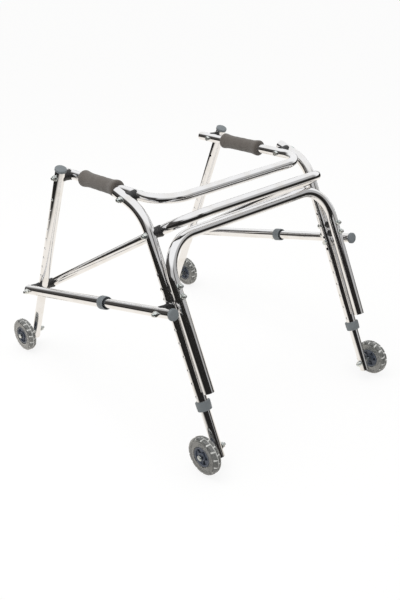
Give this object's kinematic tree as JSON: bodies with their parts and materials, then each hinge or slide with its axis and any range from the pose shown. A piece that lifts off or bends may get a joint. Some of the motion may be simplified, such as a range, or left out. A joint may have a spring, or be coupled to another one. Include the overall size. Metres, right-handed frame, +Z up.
{
  "type": "posterior walker",
  "caption": "Folding posterior walker: polished tube frame open at the front, foam hand grips, telescoping legs, sliding lower bars and small treaded wheels.",
  "frame": {"origin": "on the floor under the middle of the walker, midway between the front and rear wheels", "axes": "+X to the user's right, +Y the way the user walks (the open side), +Z up"},
  "size_m": [0.739, 0.936, 0.6488],
  "materials": {
    "tube": "polished bright",
    "foam": "soft closed-cell foam",
    "tread": "translucent, zig-zag tread",
    "hub": "satin",
    "saddle": "satin",
    "fitting": "moulded satin",
    "zinc": "zinc plated"
  },
  "bodies": {
    "top_rail": {"top_rail": "tube", "grip_left": "foam", "grip_right": "foam", "top_rail_saddles": "saddle", "top_pivot_bolts": "zinc", "top_pivot_nuts": "zinc"},
    "rear_frame": {"rear_leg_left": "tube", "rear_leg_right": "tube", "rear_arch": "tube", "arch_spacers": "saddle", "rear_frame_bolts": "zinc", "rear_frame_nuts": "zinc", "rear_leg_saddles": "saddle", "rear_leg_collars": "fitting"},
    "middle_rail": {"middle_rail": "tube", "middle_rail_saddles": "saddle", "middle_rail_bolts": "zinc"},
    "front_leg_left": {"front_leg_left": "tube", "front_cap_left": "fitting", "front_leg_saddles_left": "saddle"},
    "front_post_left": {"front_post_left": "tube", "front_axle_left": "zinc"},
    "rear_post_left": {"rear_post_left": "tube", "rear_axle_left": "zinc"},
    "wheel_front_left": {"tyre_front_left": "tread", "hub_front_left": "hub"},
    "wheel_rear_left": {"tyre_rear_left": "tread", "hub_rear_left": "hub"},
    "button_front_left": {"button_front_left": "zinc"},
    "button_rear_left": {"button_rear_left": "zinc"},
    "button_bar_left": {"button_bar_left": "zinc"},
    "lower_bar_inner_left": {"lower_bar_inner_left": "tube", "lower_bar_cap_left": "fitting", "lower_bar_saddle_left": "saddle"},
    "lower_bar_outer_left": {"lower_bar_outer_left": "tube", "lower_bar_collar_left": "fitting", "lower_bar_pivot_left": "zinc"},
    "front_leg_right": {"front_leg_right": "tube", "front_cap_right": "fitting", "front_leg_saddles_right": "saddle"},
    "front_post_right": {"front_post_right": "tube", "front_axle_right": "zinc"},
    "rear_post_right": {"rear_post_right": "tube", "rear_axle_right": "zinc"},
    "wheel_front_right": {"tyre_front_right": "tread", "hub_front_right": "hub"},
    "wheel_rear_right": {"tyre_rear_right": "tread", "hub_rear_right": "hub"},
    "button_front_right": {"button_front_right": "zinc"},
    "button_rear_right": {"button_rear_right": "zinc"},
    "button_bar_right": {"button_bar_right": "zinc"},
    "lower_bar_inner_right": {"lower_bar_inner_right": "tube", "lower_bar_cap_right": "fitting", "lower_bar_saddle_right": "saddle"},
    "lower_bar_outer_right": {"lower_bar_outer_right": "tube", "lower_bar_collar_right": "fitting", "lower_bar_pivot_right": "zinc"}
  },
  "joints": [
    {"name": "rear_fold", "type": "hinge", "parent": "top_rail", "child": "rear_frame", "pos_m": [0, -0.08338, 0.62686], "axis": [1, 0, 0], "range_deg": [0, 90]},
    {"name": "middle_fold", "type": "hinge", "parent": "rear_frame", "child": "middle_rail", "pos_m": [0, -0.17771, 0.55951], "axis": [1, 0, 0], "range_deg": [-57.45, 0]},
    {"name": "front_fold_left", "type": "hinge", "parent": "top_rail", "child": "front_leg_left", "pos_m": [0, 0.2026, 0.61246], "axis": [1, 0, 0], "range_deg": [0, 58.95]},
    {"name": "bar_hinge_left", "type": "hinge", "parent": "rear_frame", "child": "lower_bar_inner_left", "pos_m": [0, -0.25691, 0.39121], "axis": [1, 0, 0], "range_deg": [-64.4, 0]},
    {"name": "bar_slide_left", "type": "slide", "parent": "lower_bar_inner_left", "child": "lower_bar_outer_left", "axis": [0, -0.9675, 0.253], "range_m": [0, 0.1663]},
    {"name": "front_post_slide_left", "type": "slide", "parent": "front_leg_left", "child": "front_post_left", "axis": [0, 0.3567, -0.9342], "range_m": [0, 0.213]},
    {"name": "rear_post_slide_left", "type": "slide", "parent": "rear_frame", "child": "rear_post_left", "axis": [0, -0.4258, -0.9048], "range_m": [0, 0.213]},
    {"name": "wheel_spin_front_left", "type": "hinge", "parent": "front_post_left", "child": "wheel_front_left", "pos_m": [-0.344, 0.417, 0.051], "axis": [1, 0, 0], "continuous": true},
    {"name": "wheel_spin_rear_left", "type": "hinge", "parent": "rear_post_left", "child": "wheel_rear_left", "pos_m": [-0.344, -0.417, 0.051], "axis": [1, 0, 0], "continuous": true},
    {"name": "button_press_front_left", "type": "slide", "parent": "front_post_left", "child": "button_front_left", "axis": [1, 0, 0], "range_m": [0, 0.0045], "stiffness_N_per_m": 600},
    {"name": "button_press_rear_left", "type": "slide", "parent": "rear_post_left", "child": "button_rear_left", "axis": [1, 0, 0], "range_m": [0, 0.0045], "stiffness_N_per_m": 600},
    {"name": "button_press_bar_left", "type": "slide", "parent": "lower_bar_inner_left", "child": "button_bar_left", "axis": [0, 0.253, 0.9675], "range_m": [0, 0.0045], "stiffness_N_per_m": 600},
    {"name": "front_fold_right", "type": "hinge", "parent": "top_rail", "child": "front_leg_right", "pos_m": [0, 0.2026, 0.61246], "axis": [1, 0, 0], "range_deg": [0, 58.95]},
    {"name": "bar_hinge_right", "type": "hinge", "parent": "rear_frame", "child": "lower_bar_inner_right", "pos_m": [0, -0.25691, 0.39121], "axis": [1, 0, 0], "range_deg": [-64.4, 0]},
    {"name": "bar_slide_right", "type": "slide", "parent": "lower_bar_inner_right", "child": "lower_bar_outer_right", "axis": [0, -0.9675, 0.253], "range_m": [0, 0.1663]},
    {"name": "front_post_slide_right", "type": "slide", "parent": "front_leg_right", "child": "front_post_right", "axis": [0, 0.3567, -0.9342], "range_m": [0, 0.213]},
    {"name": "rear_post_slide_right", "type": "slide", "parent": "rear_frame", "child": "rear_post_right", "axis": [0, -0.4258, -0.9048], "range_m": [0, 0.213]},
    {"name": "wheel_spin_front_right", "type": "hinge", "parent": "front_post_right", "child": "wheel_front_right", "pos_m": [0.344, 0.417, 0.051], "axis": [1, 0, 0], "continuous": true},
    {"name": "wheel_spin_rear_right", "type": "hinge", "parent": "rear_post_right", "child": "wheel_rear_right", "pos_m": [0.344, -0.417, 0.051], "axis": [1, 0, 0], "continuous": true},
    {"name": "button_press_front_right", "type": "slide", "parent": "front_post_right", "child": "button_front_right", "axis": [-1, 0, 0], "range_m": [0, 0.0045], "stiffness_N_per_m": 600},
    {"name": "button_press_rear_right", "type": "slide", "parent": "rear_post_right", "child": "button_rear_right", "axis": [-1, 0, 0], "range_m": [0, 0.0045], "stiffness_N_per_m": 600},
    {"name": "button_press_bar_right", "type": "slide", "parent": "lower_bar_inner_right", "child": "button_bar_right", "axis": [0, 0.253, 0.9675], "range_m": [0, 0.0045], "stiffness_N_per_m": 600}
  ],
  "couplings": [
    {"joint": "middle_fold", "follows": "rear_fold", "ratio": -0.6377},
    {"joint": "front_fold_left", "follows": "rear_fold", "ratio": 0.6546},
    {"joint": "bar_hinge_left", "follows": "rear_fold", "ratio": -0.7151},
    {"joint": "bar_slide_left", "follows": "rear_fold", "m_per_rad": 0.1058},
    {"joint": "front_fold_right", "follows": "rear_fold", "ratio": 0.6546},
    {"joint": "bar_hinge_right", "follows": "rear_fold", "ratio": -0.7151},
    {"joint": "bar_slide_right", "follows": "rear_fold", "m_per_rad": 0.1058}
  ]
}
